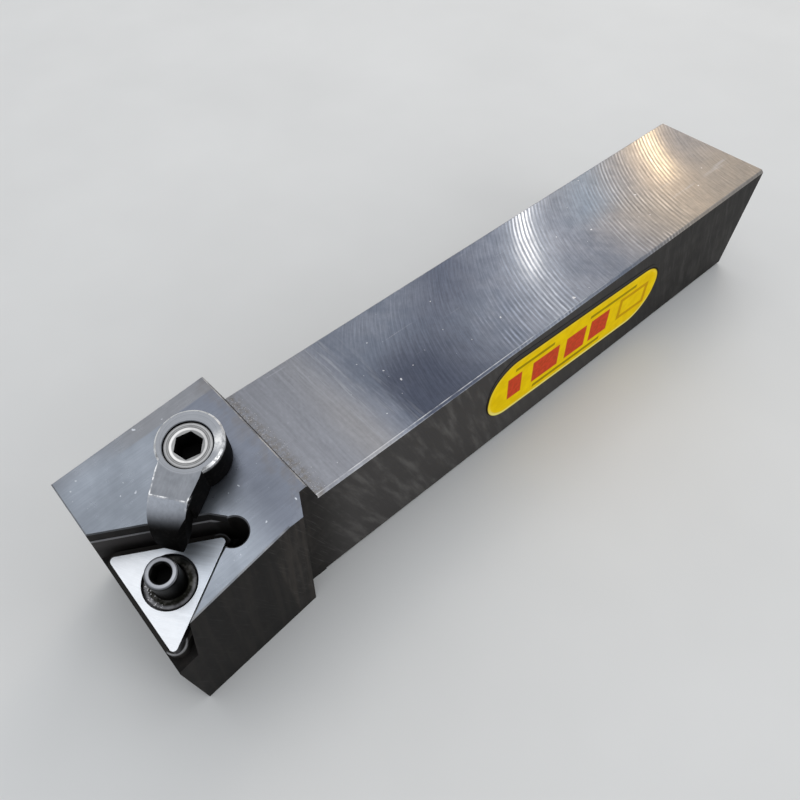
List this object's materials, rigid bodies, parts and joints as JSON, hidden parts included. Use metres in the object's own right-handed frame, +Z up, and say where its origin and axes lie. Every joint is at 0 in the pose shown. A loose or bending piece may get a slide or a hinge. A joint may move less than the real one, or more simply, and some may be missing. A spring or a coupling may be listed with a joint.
{
  "type": "turning tool holder",
  "caption": "Right-hand lathe tool holder: square shank, offset head with a tilted triangular insert pocket, shim, lock pin and a hook clamp with its screw. No insert fitted.",
  "frame": {"origin": "middle of the bounding box on the face the shank rests on", "axes": "+Y from the cutting end to the shank's rear end, +X towards the side the cutting corner stands out on, +Z up"},
  "size_m": [0.0306, 0.1516, 0.0378],
  "materials": {
    "body_steel": "blacked and milled, satin",
    "shim_steel": "ground",
    "pin_steel": "blacked, worn rim",
    "clamp_steel": "blacked, brushed top, bright worn edges",
    "screw_steel": "blacked, turned face",
    "label_film": "yellow printed film"
  },
  "bodies": {
    "holder": {"holder_body": "body_steel", "shim": "shim_steel", "label": "label_film"},
    "clamp_arm": {"clamp": "clamp_steel"},
    "screw": {"clamp_screw": "screw_steel"},
    "pin": {"lock_pin": "pin_steel"}
  },
  "joints": [
    {"name": "clamp_lift", "type": "slide", "parent": "holder", "child": "clamp_arm", "axis": [0.1159, -0.1142, 0.9867], "range_m": [0, 0.0045]},
    {"name": "screw_turn", "type": "hinge", "parent": "clamp_arm", "child": "screw", "pos_m": [-0.00343, -0.05716, 0.03071], "axis": [0.1159, -0.1142, 0.9867], "range_deg": [0, 900]},
    {"name": "pin_turn", "type": "hinge", "parent": "holder", "child": "pin", "pos_m": [0.00547, -0.06965, 0.02049], "axis": [0.1159, -0.1142, 0.9867], "range_deg": [0, 180]}
  ],
  "couplings": [
    {"joint": "screw_turn", "follows": "clamp_lift", "rad_per_m": 3471.4}
  ]
}
